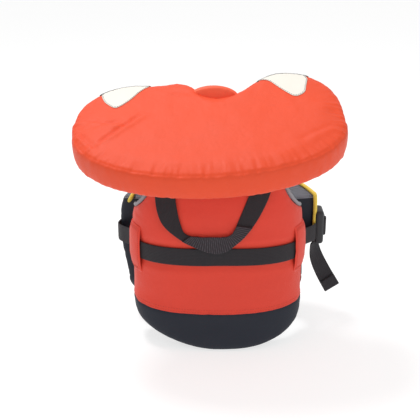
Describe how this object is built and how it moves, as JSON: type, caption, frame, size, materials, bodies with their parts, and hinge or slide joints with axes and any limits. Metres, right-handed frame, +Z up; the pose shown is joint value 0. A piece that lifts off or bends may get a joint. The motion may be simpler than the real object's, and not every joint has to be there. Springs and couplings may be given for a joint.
{
  "type": "life jacket",
  "caption": "Child's foam life jacket with a wide head-support collar folded back, zip front, belt with side-release buckle, and a grab handle on the back.",
  "frame": {"origin": "bottom centre of the whole jacket, on the floor it stands on", "axes": "+Z up; the back panel and the folded collar face -Y, the zip front faces +Y; +X is the wearer's right"},
  "size_m": [0.3596, 0.3022, 0.3696],
  "materials": {
    "orange_cloth": "matte",
    "orange_coated": "satin",
    "navy_cloth": "matte",
    "grey_mesh": "matte",
    "grey_tape": "matte",
    "black_webbing": "matte",
    "black_plastic": "satin",
    "yellow_piping": "matte",
    "reflective_tape": "satin",
    "white_foam": "matte"
  },
  "bodies": {
    "root": {"back_upper_cover": "orange_cloth", "back_hem_cover": "navy_cloth", "back_band": "orange_cloth", "back_foam": "white_foam", "back_lining": "grey_mesh", "armhole_binding_left": "grey_tape", "armhole_binding_right": "grey_tape", "neck_yoke": "orange_cloth", "waist_belt_back": "black_webbing", "belt_loop_left": "orange_cloth", "belt_loop_right": "orange_cloth", "handle_anchor_left": "black_webbing", "handle_anchor_right": "black_webbing", "side_panel_left": "grey_mesh", "side_panel_right": "grey_mesh", "shoulder_strap_left": "grey_mesh", "shoulder_strap_right": "grey_mesh", "horn_left_cover": "orange_coated", "horn_left_band": "orange_cloth", "horn_left_foam": "white_foam", "horn_left_lining": "orange_cloth", "reflective_patch_left": "reflective_tape", "horn_right_cover": "orange_coated", "horn_right_band": "orange_cloth", "horn_right_foam": "white_foam", "horn_right_lining": "orange_cloth", "reflective_patch_right": "reflective_tape"},
    "collar": {"collar_cover": "orange_coated", "collar_band": "orange_cloth", "collar_foam": "white_foam", "collar_lining": "orange_cloth"},
    "handle": {"grab_handle": "black_webbing"},
    "front_left": {"front_upper_cover_left": "orange_cloth", "front_hem_cover_left": "navy_cloth", "front_left_band": "navy_cloth", "front_left_foam": "white_foam", "front_left_lining": "grey_mesh", "piping_left": "yellow_piping", "zip_tape_left": "black_webbing", "zip_teeth_left": "black_plastic", "front_belt_left": "black_webbing", "zip_box": "black_plastic"},
    "front_right": {"front_upper_cover_right": "orange_cloth", "front_hem_cover_right": "navy_cloth", "front_right_band": "navy_cloth", "front_right_foam": "white_foam", "front_right_lining": "grey_mesh", "piping_right": "yellow_piping", "zip_tape_right": "black_webbing", "zip_teeth_right": "black_plastic", "front_belt_right": "black_webbing", "zip_pin": "black_plastic", "buckle_female": "black_plastic", "belt_adjuster": "black_plastic"},
    "slider": {"zip_slider": "black_plastic"},
    "pull": {"zip_pull": "black_plastic"},
    "buckle": {"buckle_male": "black_plastic"},
    "prong_upper": {"buckle_prong_upper": "black_plastic"},
    "prong_lower": {"buckle_prong_lower": "black_plastic"},
    "tail": {"belt_tail": "black_webbing"}
  },
  "joints": [
    {"name": "collar_fold", "type": "hinge", "parent": "root", "child": "collar", "pos_m": [-0.01032, 0.00408, 0.351], "axis": [-0.9976, -0.0523, -0.0454], "range_deg": [0, 85]},
    {"name": "grab_handle_swing", "type": "hinge", "parent": "root", "child": "handle", "pos_m": [-0.00332, -0.02872, 0.252], "axis": [-1, 0, 0], "range_deg": [0, 80]},
    {"name": "front_left_open", "type": "hinge", "parent": "root", "child": "front_left", "pos_m": [-0.11532, 0.05108, 0.1395], "axis": [0, 0, 1], "range_deg": [0, 85]},
    {"name": "front_right_open", "type": "hinge", "parent": "root", "child": "front_right", "pos_m": [0.10868, 0.05108, 0.1395], "axis": [0, 0, -1], "range_deg": [0, 85]},
    {"name": "zip_slide", "type": "slide", "parent": "front_left", "child": "slider", "axis": [0, 0, 1], "range_m": [0, 0.134]},
    {"name": "zip_pull_swing", "type": "hinge", "parent": "slider", "child": "pull", "pos_m": [-0.00332, 0.13708, 0.0525], "axis": [1, 0, 0], "range_deg": [0, 170]},
    {"name": "buckle_insert", "type": "slide", "parent": "front_left", "child": "buckle", "axis": [1, 0, 0], "range_m": [0, 0.0392]},
    {"name": "prong_upper_flex", "type": "hinge", "parent": "buckle", "child": "prong_upper", "pos_m": [-0.03332, 0.14558, 0.1485], "axis": [0, 1, 0], "range_deg": [0, 7], "stiffness_Nm_per_rad": 0.01},
    {"name": "prong_lower_flex", "type": "hinge", "parent": "buckle", "child": "prong_lower", "pos_m": [-0.03332, 0.14558, 0.1305], "axis": [0, -1, 0], "range_deg": [0, 7], "stiffness_Nm_per_rad": 0.01},
    {"name": "belt_tail_swing", "type": "hinge", "parent": "front_right", "child": "tail", "pos_m": [0.14268, 0.08208, 0.114], "axis": [-0.8403, -0.4226, -0.3395], "range_deg": [0, 35]}
  ],
  "couplings": [
    {"joint": "prong_lower_flex", "follows": "prong_upper_flex", "ratio": 1}
  ]
}
